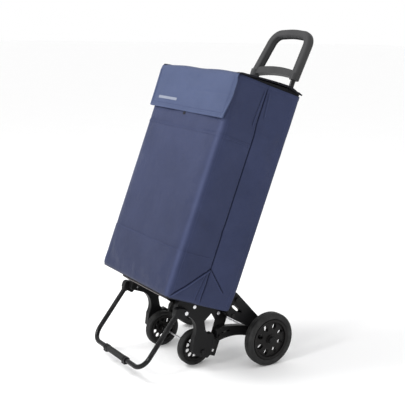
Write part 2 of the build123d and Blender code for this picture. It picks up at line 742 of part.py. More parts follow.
with BuildPart() as foot_pivots:
    for sign in SIDES.values():
        inner, outer = casting_out - CASTING_T, hinge_x + HINGE_T / 2 + GAP
        with BuildSketch(disc(sign * (inner + outer) / 2, FOOT_PIVOT)):
            Circle(FOOT_PIN_R)
        extrude(amount=(outer - inner) / 2, both=True)
        with BuildSketch(disc(sign * (outer + RIVET_HEAD_T / 2), FOOT_PIVOT)):
            Circle(RIVET_HEAD_R)
        extrude(amount=RIVET_HEAD_T / 2, both=True)
save(foot_pivots, "foot_pivots")

# =============================================================== bag

half = BAG_W / 2
inside = half - FABRIC_T
rear_h = BAG_H + BAG_RISE


def slab(name, outline, half_width, x=0.0):
    """A flat piece drawn from the side as (rearward, up) and extruded across."""
    with BuildPart() as piece:
        with BuildSketch(side(x)):
            with BuildLine():
                Polyline(*outline, close=True)
            make_face()
        extrude(amount=half_width, both=True)
    save(piece, name)


def upright(yl, height_front, height_rear, depth):
    return [(yl, 0), (yl + depth, 0), (yl + depth, height_rear), (yl, height_front)]


slab("bag_front", upright(0, BAG_H, BAG_H, FABRIC_T), half)
slab("bag_back", upright(BAG_D - FABRIC_T, rear_h, rear_h, FABRIC_T), half)
for word, sign in SIDES.items():
    panel = upright(FABRIC_T, BAG_H, rear_h, BAG_D - 2 * FABRIC_T)
    slab(f"bag_side_{word}", panel, FABRIC_T / 2, sign * (half - FABRIC_T / 2))
slab("bag_bottom", upright(FABRIC_T, FABRIC_T, FABRIC_T, BAG_D - 2 * FABRIC_T), inside)
board_front, board_rear = FABRIC_T + BOARD_GAP, BAG_D - FABRIC_T - BOARD_GAP
board_top = FABRIC_T + BOARD_T
board = [(board_front, FABRIC_T), (board_rear, FABRIC_T), (board_rear, board_top), (board_front, board_top)]
slab("bag_board", board, inside - BOARD_GAP)

# Dark lining band around the inside of the mouth.
with BuildPart() as bag_lining:
    with BuildSketch(deck(BAG_H - LINING_H)):
        with Locations((0, BAG_D / 2)):
            Rectangle(2 * inside, BAG_D - 2 * FABRIC_T)
            Rectangle(2 * (inside - LINING_T), BAG_D - 2 * FABRIC_T - 2 * LINING_T, mode=Mode.SUBTRACT)
    extrude(amount=LINING_H - LINING_T)
save(bag_lining, "bag_lining")

# Webbing loops that hold the bag's back panel to the frame tubes.
with BuildPart() as bag_loops:
    loop_r = TUBE_R + GAP
    for sign in SIDES.values():
        with BuildSketch(deck(BAG_H - STRAP_DROP)):
            with Locations((sign * TUBE_X, tube_yl)):
                Circle(loop_r + STRAP_T)
            with Locations((sign * TUBE_X, (BAG_D + tube_yl) / 2)):
                Rectangle(2 * (loop_r + STRAP_T), TUBE_BEHIND_BAG)
            with Locations((sign * TUBE_X, tube_yl)):
                Circle(loop_r, mode=Mode.SUBTRACT)
            with Locations((sign * TUBE_X, (BAG_D + STRAP_T + tube_yl) / 2)):
                Rectangle(2 * loop_r, TUBE_BEHIND_BAG - STRAP_T, mode=Mode.SUBTRACT)
        extrude(amount=STRAP_W)
save(bag_loops, "bag_loops")

# Lid: a flat top sewn to the back panel, and a flap that hangs over the front.
lid_w = BAG_W + 2 * LID_OVERHANG
lid_low, lid_high = BAG_H + LID_LIFT, rear_h + LID_LIFT
lid_rear = BAG_D + LID_TUCK
flap_out = -LID_REACH - LID_T
flap_in = -LID_REACH
flap_low = lid_low - LID_DROP
lid_plate = [
    (flap_out, lid_low),
    (lid_rear, lid_high),
    (lid_rear, lid_high + LID_T),
    (flap_out, lid_low + LID_T),
]
slab("lid_top", lid_plate, lid_w / 2)
flap = [(flap_out, lid_low), (flap_in, lid_low), (flap_in, flap_low), (flap_out, flap_low)]
slab("lid_flap", flap, lid_w / 2)
tab_high, tab_low = flap_low + TAB_IN, flap_low - TAB_OUT
tab = [(flap_in, tab_high), (flap_in + TAB_T, tab_high), (flap_in + TAB_T, tab_low), (flap_in, tab_low)]
slab("closure_tab", tab, TAB_W / 2)
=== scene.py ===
import math

import bmesh
import bpy
from mathutils import Matrix, Vector
from mathutils.bvhtree import BVHTree


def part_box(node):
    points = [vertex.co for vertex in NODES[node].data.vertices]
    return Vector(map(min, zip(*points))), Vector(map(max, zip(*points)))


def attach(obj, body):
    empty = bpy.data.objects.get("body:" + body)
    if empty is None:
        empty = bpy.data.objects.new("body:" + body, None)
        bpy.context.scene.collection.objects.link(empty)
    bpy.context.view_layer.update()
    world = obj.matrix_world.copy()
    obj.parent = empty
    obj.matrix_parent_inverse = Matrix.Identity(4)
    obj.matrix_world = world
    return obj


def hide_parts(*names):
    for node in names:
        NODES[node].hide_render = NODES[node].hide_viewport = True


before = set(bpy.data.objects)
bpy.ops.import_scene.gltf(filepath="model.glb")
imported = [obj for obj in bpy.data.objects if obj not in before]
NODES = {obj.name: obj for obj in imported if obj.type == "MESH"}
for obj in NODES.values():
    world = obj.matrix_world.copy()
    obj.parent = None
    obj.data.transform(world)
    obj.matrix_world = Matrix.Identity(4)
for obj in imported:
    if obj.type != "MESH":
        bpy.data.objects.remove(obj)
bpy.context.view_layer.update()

# Shopping trolley: the metal and moulded pieces come from the frame and only get their
# finishes here. The bag, its lid, lining, webbing and trims are sewn goods made below.
#
# Soft pieces are shaped upright in the bag's own axes, X across, Y rearward and Z up from
# the bag's lower front edge, and then leaned back with the frame.

MM = 0.001

# ---------------------------------------------------------------- the bag's axes
front_corners = [vertex.co for vertex in NODES["bag_front"].data.vertices]
lower_edge = min(front_corners, key=lambda co: co.y)
upper_edge = max(front_corners, key=lambda co: co.z)
slope = Vector((0, upper_edge.y - lower_edge.y, upper_edge.z - lower_edge.z))
LEAN = math.atan2(slope.y, slope.z)
BAG_H = slope.length
BAG_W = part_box("bag_front")[1].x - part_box("bag_front")[0].x
LEANED = Matrix.Translation((0, lower_edge.y, lower_edge.z)) @ Matrix.Rotation(-LEAN, 4, "X")


def upright(point):
    """A place of the frame, given back in the bag's own axes."""
    return LEANED.inverted() @ Vector(point)


rear_corners = [upright(vertex.co) for vertex in NODES["bag_back"].data.vertices]
BAG_D = max(corner.y for corner in rear_corners)
REAR_H = max(corner.z for corner in rear_corners)
lid_corners = [upright(vertex.co) for vertex in NODES["lid_flap"].data.vertices]
FLAP_Y = min(corner.y for corner in lid_corners)
FLAP_LOW = min(corner.z for corner in lid_corners)
LID_W = 2 * max(corner.x for corner in lid_corners)

# ---------------------------------------------------------------- sizes of the sewn goods
CORNER_R = 15 * MM          # rounding of the bag's edges
FABRIC_T = 1.3 * MM
CELLS_X = 36                # cells of fabric mesh across, half the depth, below and above the fold
CELLS_HALF_Y = 10
CELLS_LOW = 10
CELLS_HIGH = 50
FOLD_Z = 107 * MM           # where the three folds of the side meet
CREASE_LOW = 122 * MM       # how far rearward the side's crease runs, at the folds and at the mouth
CREASE_HIGH = 114 * MM
FOLD_DEEP = 15 * MM
FOLD_DEEP_TOP = 5 * MM
FOLD_LEAST = 2.6 * MM       # half the width of a pressed fold line
RIDGE_OFF = 4.4 * MM        # the ridge beside a fold line, and half its width
RIDGE_HALF = 1.8 * MM
LINE_CORE = 1.2 * MM        # half the width of the floor of a fold line
LINE_ROOM = 16 * MM         # how far from a fold line the fabric mesh is cut finer
REAR_CORNER_R = 7 * MM
REAR_FULLNESS = 5 * MM
SLACK_MOST = 5 * MM         # the furthest that the cloth may bulge or pucker
RELAX_STEPS = 20            # steps of the cloth simulation
SEAM_LOW = (128 * MM, 136 * MM)
SEAM_HIGH = (459 * MM, 468 * MM)
MOUTH_RISE = 7 * MM
HEM = 13 * MM
LAP_T = 0.7 * MM            # cloth lapped over the shell along a seam
AIM = 0.25                  # how far outside the cloth a row of stitches is aimed from
STITCH_L = 3.2 * MM
STITCH_STEP = 4.4 * MM
STITCH_R = 0.45 * MM
LID_T = 2.0 * MM
LID_FRONT_R = 14 * MM
LID_CELLS = 56
TAPE_W = 14 * MM
HEM_W = 9 * MM
REAR_DROOP = 8 * MM         # how far the lid's rear corners hang
LINING_T = 1.2 * MM
LINING_H = 70 * MM          # how far the lining reaches down into the bag
LINING_IN = 3.2 * MM        # how far inside the bag's outer face the lining starts
LABEL_W = 100 * MM
LABEL_H = 8 * MM
LABEL_X = -106 * MM
LABEL_UP = 27 * MM          # middle of the label, above the flap's lower edge


# ================================================================ modelling helpers
def fresh():
    """Nothing selected, ready for a new piece."""
    if bpy.context.object and bpy.context.object.mode != "OBJECT":
        bpy.ops.object.mode_set(mode="OBJECT")
    bpy.ops.object.select_all(action="DESELECT")


def start_piece(name, add, size, place=(0, 0, 0), turn=(0, 0, 0), **how):
    """Adds a primitive, names it and applies its size, turn and place."""
    fresh()
    add(**how)
    piece = bpy.context.object
    piece.name = name
    piece.data.name = name
    piece.scale = size
    piece.rotation_euler = turn
    piece.location = place
    bpy.ops.object.transform_apply(location=True, rotation=True, scale=True)
    return piece


def pick(piece, kind, wanted):
    """In edit mode, selects the vertices, edges or faces that a test wants."""
    bpy.ops.mesh.select_mode(type=kind)
    bpy.ops.mesh.select_all(action="DESELECT")
    mesh = bmesh.from_edit_mesh(piece.data)
    items = {"VERT": mesh.verts, "EDGE": mesh.edges, "FACE": mesh.faces}[kind]
    for item in items:
        if wanted(item):
            item.select_set(True)
    mesh.select_flush_mode()
    bmesh.update_edit_mesh(piece.data)


def along(axis):
    """A test for edges that run along one axis."""

    def wanted(edge):
        run = (edge.verts[1].co - edge.verts[0].co).normalized()
        return abs(run[axis]) > 0.999

    return wanted


def middle(item):
    """The middle of an edge or a face."""
    return sum((vertex.co for vertex in item.verts), Vector()) / len(item.verts)


def apply_modifier(piece, kind, **settings):
    """Adds a modifier to a piece and applies it."""
    fresh()
    piece.select_set(True)
    bpy.context.view_layer.objects.active = piece
    modifier = piece.modifiers.new(kind.title(), kind)
    for key, value in settings.items():
        setattr(modifier, key, value)
    bpy.ops.object.modifier_apply(modifier=modifier.name)


def move_points(piece, shape):
    """Moves every point of a piece to where shape(co) says."""
    for vertex in piece.data.vertices:
        vertex.co = shape(vertex.co.copy())
    piece.data.update()


def smooth(piece, degrees):
    """Smooth shading, with edges sharper than an angle left crisp."""
    fresh()
    piece.select_set(True)
    bpy.context.view_layer.objects.active = piece
    bpy.ops.object.shade_smooth_by_angle(angle=math.radians(degrees))


def outward(piece):
    """Merges doubles and turns every face outwards."""
    fresh()
    piece.select_set(True)
    bpy.context.view_layer.objects.active = piece
    bpy.ops.object.mode_set(mode="EDIT")
    bpy.ops.mesh.select_all(action="SELECT")
    bpy.ops.mesh.remove_doubles(threshold=0.00001)
    bpy.ops.mesh.normals_make_consistent(inside=False)
    bpy.ops.object.mode_set(mode="OBJECT")


def done(piece, body, finishes, nodes=()):
    """Leans a finished piece back with the frame and hands it to its body."""
    piece.data.transform(LEANED)
    piece.data.materials.clear()
    for finish in finishes:
        piece.data.materials.append(finish)
    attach(piece, body)
    if nodes:
        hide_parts(*nodes)


def ease(value):
    """0 to 1 with soft ends."""
    value = min(max(value, 0.0), 1.0)
    return value * value * (3 - 2 * value)


# ================================================================ finishes
class Value:
    """A shader output that takes part in plain arithmetic."""

    def __init__(self, finish, socket):
        self.finish = finish
        self.socket = socket

    def math(self, operation, *values):
        return self.finish.node("ShaderNodeMath", {"operation": operation}, dict(enumerate(values)))

    def __add__(self, other):
        return self.math("ADD", self, other)

    def __sub__(self, other):
        return self.math("SUBTRACT", self, other)

    def __rsub__(self, other):
        return self.math("SUBTRACT", other, self)

    def __mul__(self, other):
        return self.math("MULTIPLY", self, other)

    def sine(self):
        return self.math("SINE", self)

    __radd__ = __add__
    __rmul__ = __mul__


class Finish:
    """A material under construction: one Principled shader and what feeds it."""

    def __init__(self, name, **constants):
        self.material = bpy.data.materials.new(name)
        self.material.use_nodes = True
        self.tree = self.material.node_tree
        self.shader = self.tree.nodes["Principled BSDF"]
        for key, value in constants.items():
            self.shader.inputs[key.replace("_", " ")].default_value = value

    def node(self, kind, settings=None, inputs=None, output=0):
        node = self.tree.nodes.new(kind)
        for key, value in (settings or {}).items():
            if key == "stops":
                ramp = node.color_ramp.elements
                while len(ramp) < len(value):
                    ramp.new(0.5)
                for stop, (position, colour) in zip(ramp, value):
                    stop.position = position
                    stop.color = colour
            else:
                setattr(node, key, value)
        for key, value in (inputs or {}).items():
            if isinstance(value, Value):
                self.tree.links.new(value.socket, node.inputs[key])
            else:
                node.inputs[key].default_value = value
        return Value(self, node.outputs[output])

    def feed(self, socket, value):
        self.tree.links.new(value.socket, self.shader.inputs[socket])

    def coords(self, output="Object", scale=(1, 1, 1), turn=(0, 0, 0)):
        place = self.node("ShaderNodeTexCoord", output=output)
        return self.node("ShaderNodeMapping", inputs={"Vector": place, "Scale": scale, "Rotation": turn})

    def axis(self, place, name):
        return self.node("ShaderNodeSeparateXYZ", inputs={"Vector": place}, output=name)

    def noise(self, place, scale, detail=2.0, rough=0.5):
        inputs = {"Vector": place, "Scale": scale, "Detail": detail, "Roughness": rough}
        return self.node("ShaderNodeTexNoise", inputs=inputs)

    def spread(self, value, low, high, to_low=0.0, to_high=1.0):
        inputs = {"Value": value, "From Min": low, "From Max": high, "To Min": to_low, "To Max": to_high}
        return self.node("ShaderNodeMapRange", inputs=inputs)

    def mix(self, factor, first, second, blend="MIX"):
        settings = {"data_type": "RGBA", "blend_type": blend}
        return self.node("ShaderNodeMix", settings, {0: factor, 6: first, 7: second}, output=2)

    def bump(self, height, distance, strength=1.0, under=None):
        inputs = {"Height": height, "Distance": distance, "Strength": strength}
        if under:
            inputs["Normal"] = under
        return self.node("ShaderNodeBump", inputs=inputs)


def grey(level):
    return (level, level, level, 1)


def toned(colour, times, plus=0.0):
    """A lighter or darker version of a colour."""
    return tuple(min(1.0, times * part + plus) for part in colour[:3]) + (1,)


def woven(name, colour, faded, thread, crumple, sheen=0.02, rough=0.5):
    """Plain-woven cloth: crossing threads, uneven dye, a soft crumple, painted shade between the threads
    and the cloth's painted light from its points.
    """
    finish = Finish(name, Sheen_Weight=sheen, Sheen_Roughness=0.45, Specular_IOR_Level=0.14)
    place = finish.coords("UV")
    turns = 2 * math.pi / thread
    warp = (finish.axis(place, "X") * turns).sine()
    weft = (finish.axis(place, "Y") * turns).sine()
    weave = warp * weft
    dye = finish.noise(place, 9.0, 4.0, 0.6)
    slub = finish.noise(finish.coords("UV", scale=(1, 14, 1)), 60.0, 2.0, 0.6)
    tone = finish.spread(dye * 0.7 + slub * 0.3, 0.35, 0.65)
    base = finish.mix(tone, colour, faded)
    # The cloth's painted light, kept on its points: above 0 mixes in a painted highlight, below 0 a painted
    # shade.
    wear = finish.node("ShaderNodeAttribute", {"attribute_name": "wear"}, output=2)
    base = finish.mix(wear, base, toned(colour, 2.0, 0.028))
    base = finish.mix(0.0 - wear, base, toned(colour, 0.12))
    # Painted shade in the gaps between the threads.
    shade_between_threads = finish.spread(weave, -1, 1, 0.0, 0.35)
    finish.feed("Base Color", finish.mix(shade_between_threads, base, toned(colour, 0.72)))
    finish.feed("Roughness", finish.spread(slub, 0.3, 0.7, rough - 0.05, rough + 0.07))
    soft = finish.noise(place, 17.0, 3.0, 0.5)
    creased = finish.bump(soft, crumple)
    finish.feed("Normal", finish.bump(weave, 0.12 * MM, 0.6, creased))
    return finish.material


def moulded(name, colour, rough, grain=0.05, pores=1400.0):
    """Moulded plastic: fine grain, faint flow marks and slightly polished high spots."""
    finish = Finish(name, Specular_IOR_Level=0.14)
    place = finish.coords()
    fine = finish.noise(place, pores, 2.0, 0.5)
    flow = finish.noise(finish.coords(scale=(1, 1, 0.3)), 22.0, 3.0, 0.6)
    finish.feed("Base Color", finish.mix(finish.spread(flow, 0.35, 0.7), colour, toned(colour, 1.35)))
    uneven = flow * 0.6 + fine * 0.4
    finish.feed("Roughness", finish.spread(uneven, 0.35, 0.65, rough - 0.07, rough + 0.08))
    finish.feed("Normal", finish.bump(fine, grain * MM, 0.7))
    return finish.material


def painted(name, colour, rough, coat=0.6):
    """Powder paint on steel: fine orange peel, dust and small scuffs."""
    finish = Finish(name, Coat_Weight=coat, Coat_Roughness=0.1, Specular_IOR_Level=0.16)
    place = finish.coords()
    peel = finish.noise(place, 420.0, 2.0, 0.5)
    dust = finish.noise(place, 30.0, 4.0, 0.65)
    scuffed = finish.spread(finish.noise(finish.coords(scale=(1, 1, 0.15)), 160.0, 2.0, 0.7), 0.62, 0.72)
    dusty = toned(colour, 1.0, 0.02)
    finish.feed("Base Color", finish.mix(finish.spread(dust, 0.45, 0.7, 0.0, 0.8), colour, dusty))
    finish.feed("Roughness", finish.spread(dust, 0.3, 0.7, rough - 0.04, rough + 0.08) + scuffed * 0.1)
    finish.feed("Normal", finish.bump(peel, 0.04 * MM, 0.6))
    return finish.material


def rubber(name, colour, rough):
    """Tyre rubber: matt, with patches of dust and a fine skin."""
    finish = Finish(name, Specular_IOR_Level=0.2)
    place = finish.coords()
    skin = finish.noise(place, 900.0, 3.0, 0.6)
    dust = finish.noise(place, 45.0, 4.0, 0.6)
    dusty = toned(colour, 1.9, 0.006)
    finish.feed("Base Color", finish.mix(finish.spread(dust, 0.42, 0.75), colour, dusty))
    finish.feed("Roughness", finish.spread(dust, 0.3, 0.7, rough - 0.06, rough + 0.08))
    finish.feed("Normal", finish.bump(skin, 0.08 * MM, 0.8))
    return finish.material


def plated(name, colour, rough):
    """Bright zinc: brushed by tumbling, slightly clouded."""
    finish = Finish(name, Metallic=1.0)
    cloud = finish.noise(finish.coords(), 130.0, 4.0, 0.6)
    fine = finish.noise(finish.coords(scale=(0.1, 1, 1)), 1500.0, 2.0, 0.6)
    finish.feed("Base Color", finish.mix(finish.spread(cloud, 0.35, 0.7), colour, toned(colour, 0.72)))
    uneven = cloud * 0.5 + fine * 0.5
    finish.feed("Roughness", finish.spread(uneven, 0.35, 0.65, rough - 0.08, rough + 0.12))
    finish.feed("Normal", finish.bump(fine, 0.02 * MM, 0.5))
    return finish.material


def fibreboard(name, colour):
    """Stiffening board: pressed fibres."""
    finish = Finish(name, Specular_IOR_Level=0.2)
    fibres = finish.noise(finish.coords(scale=(1, 6, 1)), 260.0, 3.0, 0.7)
    light = toned(colour, 1.8)
    finish.feed("Base Color", finish.mix(finish.spread(fibres, 0.4, 0.65), colour, light))
    finish.feed("Roughness", finish.spread(fibres, 0.3, 0.7, 0.75, 0.95))
    finish.feed("Normal", finish.bump(fibres, 0.1 * MM, 0.7))
    return finish.material


NAVY = (0.026, 0.034, 0.080, 1)
NAVY_FADED = (0.036, 0.046, 0.104, 1)
# The lid's navy is the bag's made lighter: painted light, for the flap lit brighter than the front below
# it.
LID_NAVY_LIT = (0.044, 0.060, 0.122, 1)
LID_FADED_LIT = (0.056, 0.074, 0.146, 1)
NEAR_BLACK = (0.0035, 0.0035, 0.006, 1)
BLACK_FADED = (0.007, 0.007, 0.010, 1)
LABEL_PALE = (0.17, 0.19, 0.25, 1)
LABEL_FADED = (0.26, 0.28, 0.34, 1)
NAVY_CLOTH = woven("navy_cloth", NAVY, NAVY_FADED, 0.9 * MM, 3.4 * MM)
LID_CLOTH = woven("lid_cloth", LID_NAVY_LIT, LID_FADED_LIT, 0.9 * MM, 3.0 * MM)
LINING_CLOTH = woven("lining_cloth", NEAR_BLACK, BLACK_FADED, 0.7 * MM, 1.5 * MM)
WEBBING = woven("webbing_tape", (0.004, 0.004, 0.008, 1), (0.008, 0.008, 0.014, 1), 2.2 * MM, 0.4 * MM)
BOARD = fibreboard("black_board", (0.018, 0.018, 0.02, 1))
THREAD = moulded("sewing_thread", (0.045, 0.055, 0.115, 1), 0.6, 0.05, 2500.0)
LABEL_CLOTH = woven("label_cloth", LABEL_PALE, LABEL_FADED, 0.8 * MM, 0.2 * MM, 0.1, 0.6)
SLEEVE_BLACK = moulded("sleeve_black", (0.016, 0.016, 0.016, 1), 0.5, 0.08, 900.0)
HANDLE_GREY = moulded("handle_grey", (0.036, 0.036, 0.037, 1), 0.5, 0.07, 1100.0)
MOULDED_BLACK = moulded("moulded_black", (0.006, 0.006, 0.0065, 1), 0.4)
RIM_BLACK = moulded("rim_black", (0.007, 0.0065, 0.0065, 1), 0.42)
TYRE_RUBBER = rubber("tyre_rubber", (0.012, 0.012, 0.012, 1), 0.6)
BUSH_NYLON = moulded("bush_nylon", (0.55, 0.54, 0.50, 1), 0.45, 0.03)
TUBE_BLACK = painted("tube_black", (0.0025, 0.0025, 0.003, 1), 0.16, 0.05)
SHEET_BLACK = painted("sheet_black", (0.0025, 0.0022, 0.0022, 1), 0.34, 0.06)
# Pale steel for the tray's rolled edge: painted highlight along the black flange's lower edge.
HIGHLIGHT_EDGE_STEEL = plated("highlight_edge_steel", (0.30, 0.27, 0.27, 1), 0.38)
ZINC = plated("zinc_steel", (0.80, 0.80, 0.82, 1), 0.26)

NODE_FINISHES = {
    "tyre": TYRE_RUBBER,
    "rim": RIM_BLACK,
    "bush": BUSH_NYLON,
    "caps": MOULDED_BLACK,
    "spacers": MOULDED_BLACK,
    "axle": ZINC,
    "pivot_rod": ZINC,
    "bolts": SHEET_BLACK,
    "rivets": ZINC,
    "foot_pivots": ZINC,
    "platform": SHEET_BLACK,
    "bracket": SHEET_BLACK,
    "frame_tube": TUBE_BLACK,
    "foot_loop": TUBE_BLACK,
    "handle": HANDLE_GREY,
    "board": BOARD,
    "lining": LINING_CLOTH,
    "bag_loops": WEBBING,
    "closure_tab": WEBBING,
}
for name, node in NODES.items():
    finish = next((value for word, value in NODE_FINISHES.items() if word in name), MOULDED_BLACK)
    node.data.materials.clear()
    node.data.materials.append(finish)


# ================================================================ bag shell
def bag_top(y):
    """Height of the bag's mouth, which rises a little towards the back."""
    return BAG_H + MOUTH_RISE * y / BAG_D


def rear_fullness(co):
    """How far the cloth beside the back panel stands out to the rear."""
    near_rear = ease((co.y - BAG_D + 50 * MM) / (50 * MM))
    near_side = ease((abs(co.x) - BAG_W / 2 + 34 * MM) / (30 * MM))
    return REAR_FULLNESS * near_rear * near_side * ease(co.z / (80 * MM))


def rounded(co):
    """Rounds the edges of the upright box, all but the mouth, and fills out its rear seams."""
    radius = CORNER_R if co.y < BAG_D / 2 else REAR_CORNER_R
    half = BAG_W / 2 - radius
    inner = Vector((
        min(max(co.x, -half), half),
        min(max(co.y, radius), BAG_D - radius),
        max(co.z, radius),
    ))
    away = co - inner
    if away.length > 0:
        co = inner + away.normalized() * radius
    co.y += rear_fullness(co)
    return co


# Lines pressed into each side, as (start, end, depth, ridge), drawn in (rearward, up). The
# ridge is the fold of cloth that stands proud just below a line.
APEX = Vector((CREASE_LOW, FOLD_Z))
CREASE_END = Vector((CREASE_HIGH, BAG_H - 4 * MM))
DEEPEST = 5.0 * MM
PROUDEST = 2.8 * MM


def beside_crease(off, drop):
    """A place beside the crease's upper end, rearward and down from the mouth in millimetres."""
    return Vector((CREASE_HIGH + off * MM, BAG_H - drop * MM))


FOLD_LINES = [
    (Vector((0.1 * CREASE_LOW, 0.1 * FOLD_Z)), APEX, DEEPEST, PROUDEST),
    (APEX, APEX.lerp(Vector((BAG_D, 0.1 * FOLD_Z)), 0.6), 2.4 * MM, 1.2 * MM),
    (APEX, CREASE_END, DEEPEST, 0.0),
    (APEX, Vector((CREASE_LOW - 8 * MM, 8 * MM)), 2.8 * MM, 1.6 * MM),
    (APEX - Vector((10 * MM, 5 * MM)), Vector((CREASE_LOW - 26 * MM, 10 * MM)), 1.2 * MM, 1.0 * MM),
    (beside_crease(-15, 120), beside_crease(-9, 14), 1.8 * MM, 1.0 * MM),
    (beside_crease(17, 90), beside_crease(8, 14), 1.5 * MM, 1.0 * MM),
]


def beside(spot, start, end):
    """How far a spot is to one side of a line, and how far along it lies (0 to 1)."""
    run = end - start
    reach = spot - start
    return (run.x * reach.y - run.y * reach.x) / run.length, reach.dot(run) / run.length_squared


def lines_at(co):
    """What is felt of the fold lines at a place: for each, its depth and share, its ridge and share."""
    felt = []
    for start, end, deep, ridge in FOLD_LINES:
        gap, share = beside(Vector((co.y, co.z)), start, end)
        if -0.03 < share < 1.03:
            fade = ease((share + 0.03) / 0.08) * ease((1.03 - share) / 0.08)
            groove = fade * max(0.0, 1 - abs(gap) / FOLD_LEAST)
            proud = fade * max(0.0, 1 - abs(gap + RIDGE_OFF) / RIDGE_HALF)
            felt.append((deep, groove, ridge, proud))
    return felt


def pressed(co):
    """How far the fold lines draw a side in at one place."""
    return sum(deep * groove - ridge * proud for deep, groove, ridge, proud in lines_at(co))


def painted_light_at(co):
    """Painted light on the cloth: painted highlight (up to 1) on the fold ridges and the front corners,
    painted shade (down to -1) in the fold lines, towards the bottom and a little over the front.
    """
    value = 0.0
    if abs(co.x) > BAG_W / 2 - 30 * MM:
        # Painted highlight on the ridges beside the fold lines, painted shade in the fold lines themselves.
        for deep, groove, ridge, proud in lines_at(co):
            value += 0.75 * proud * ridge / PROUDEST
            value -= 0.95 * groove * min(1.0, deep / (4 * MM))
    # Painted highlight down the rounded front corners.
    corner = Vector((BAG_W / 2 - 0.45 * CORNER_R, 0.15 * CORNER_R))
    off = (Vector((abs(co.x), co.y)) - corner).length
    value += 0.62 * math.exp(-(off / (8 * MM)) ** 2)
    # Painted shade, growing towards the bottom, and a little more over the front panel.
    front = ease((CORNER_R - co.y) / CORNER_R)
    low_down = 1 - min(max(co.z / BAG_H, 0.0), 1.0)
    return value - low_down * (0.14 + 0.2 * front) - 0.04 * front


def folded(co):
    """Draws the sides in along their crease, and spreads them below where the folds meet."""
    rise = max(0.0, (co.z - FOLD_Z) / (BAG_H - FOLD_Z))
    crease = CREASE_LOW + (CREASE_HIGH - CREASE_LOW) * rise
    share = co.y / crease if co.y < crease else (BAG_D - co.y) / (BAG_D - crease)
    share = max(share, 0.0)
    if co.z > FOLD_Z:
        inset = (FOLD_DEEP + (FOLD_DEEP_TOP - FOLD_DEEP) * rise) * share
    else:
        inset = FOLD_DEEP * min(share, max(co.z / FOLD_Z, 0.0))
    inset += pressed(co)
    side = ease((abs(co.x) - BAG_W / 4) / (BAG_W / 4 - CORNER_R))
    ends = ease(co.z / (25 * MM)) * ease(min(co.y, BAG_D - co.y) / (12 * MM))
    co.x -= math.copysign(inset * side * ends, co.x)
    return co


def bag_shape(co):
    """The bag's outer form before its sides are folded in."""
    lifted = co.z / BAG_H
    co = rounded(co)
    co.z += (bag_top(co.y) - BAG_H) * max(0.0, lifted) ** 12
    return co


def hang_cloth(piece, held_share):
    """Lets the sewn cloth relax under a little air from inside, and caps how far it moves."""
    shaped = [vertex.co.copy() for vertex in piece.data.vertices]
    held = piece.vertex_groups.new(name="held")
    for vertex in piece.data.vertices:
        held.add([vertex.index], held_share(vertex.co), "REPLACE")
    fresh()
    piece.select_set(True)
    bpy.context.view_layer.objects.active = piece
    cloth = piece.modifiers.new("Cloth", "CLOTH")
    cloth.settings.quality = 6
    cloth.settings.mass = 0.25
    cloth.settings.bending_stiffness = 0.35
    cloth.settings.tension_stiffness = 25
    cloth.settings.compression_stiffness = 25
    cloth.settings.shear_stiffness = 12
    cloth.settings.shrink_min = -0.010
    cloth.settings.vertex_group_mass = held.name
    cloth.settings.use_pressure = True
    cloth.settings.uniform_pressure_force = 0.5
    cloth.settings.effector_weights.gravity = 0.0
    cloth.point_cache.frame_start = 1
    cloth.point_cache.frame_end = RELAX_STEPS
    scene = bpy.context.scene
    for step in range(1, RELAX_STEPS + 1):
        scene.frame_set(step)
    bpy.ops.object.modifier_apply(modifier=cloth.name)
    scene.frame_set(1)
    for vertex, start in zip(piece.data.vertices, shaped):
        moved = vertex.co - start
        if moved.length > SLACK_MOST:
            vertex.co = start + moved.normalized() * SLACK_MOST
    piece.vertex_groups.clear()


def cut_out(source, name, wanted):
    """A copy of the faces of a cloth whose middles a test wants."""
    strip = source.copy()
    strip.data = source.data.copy()
    strip.name = name
    strip.data.name = name
    bpy.context.scene.collection.objects.link(strip)
    fresh()
    strip.select_set(True)
    bpy.context.view_layer.objects.active = strip
    bpy.ops.object.mode_set(mode="EDIT")
    pick(strip, "FACE", lambda face: not wanted(middle(face)))
    bpy.ops.mesh.delete(type="FACE")
    bpy.ops.object.mode_set(mode="OBJECT")
    return strip


def sewn_strip(source, name, wanted, thickness, sink=0.3 * MM):
    """A strip of cloth sewn on top of another."""
    strip = cut_out(source, name, wanted)
    apply_modifier(strip, "SOLIDIFY", thickness=thickness + sink, offset=1 - 2 * sink / (thickness + sink))
    apply_modifier(strip, "BEVEL", width=0.35 * MM, segments=2, limit_method="ANGLE")
    smooth(strip, 50)
    return strip


stitch = start_piece("stitch", bpy.ops.mesh.primitive_cylinder_add, (STITCH_R, STITCH_R, STITCH_L / 2),
                     vertices=6, radius=1, depth=2)
bpy.ops.object.mode_set(mode="EDIT")
pick(stitch, "FACE", lambda face: abs(face.normal.z) > 0.9)
bpy.ops.mesh.inset(thickness=0.2 * MM)
bpy.ops.object.mode_set(mode="OBJECT")


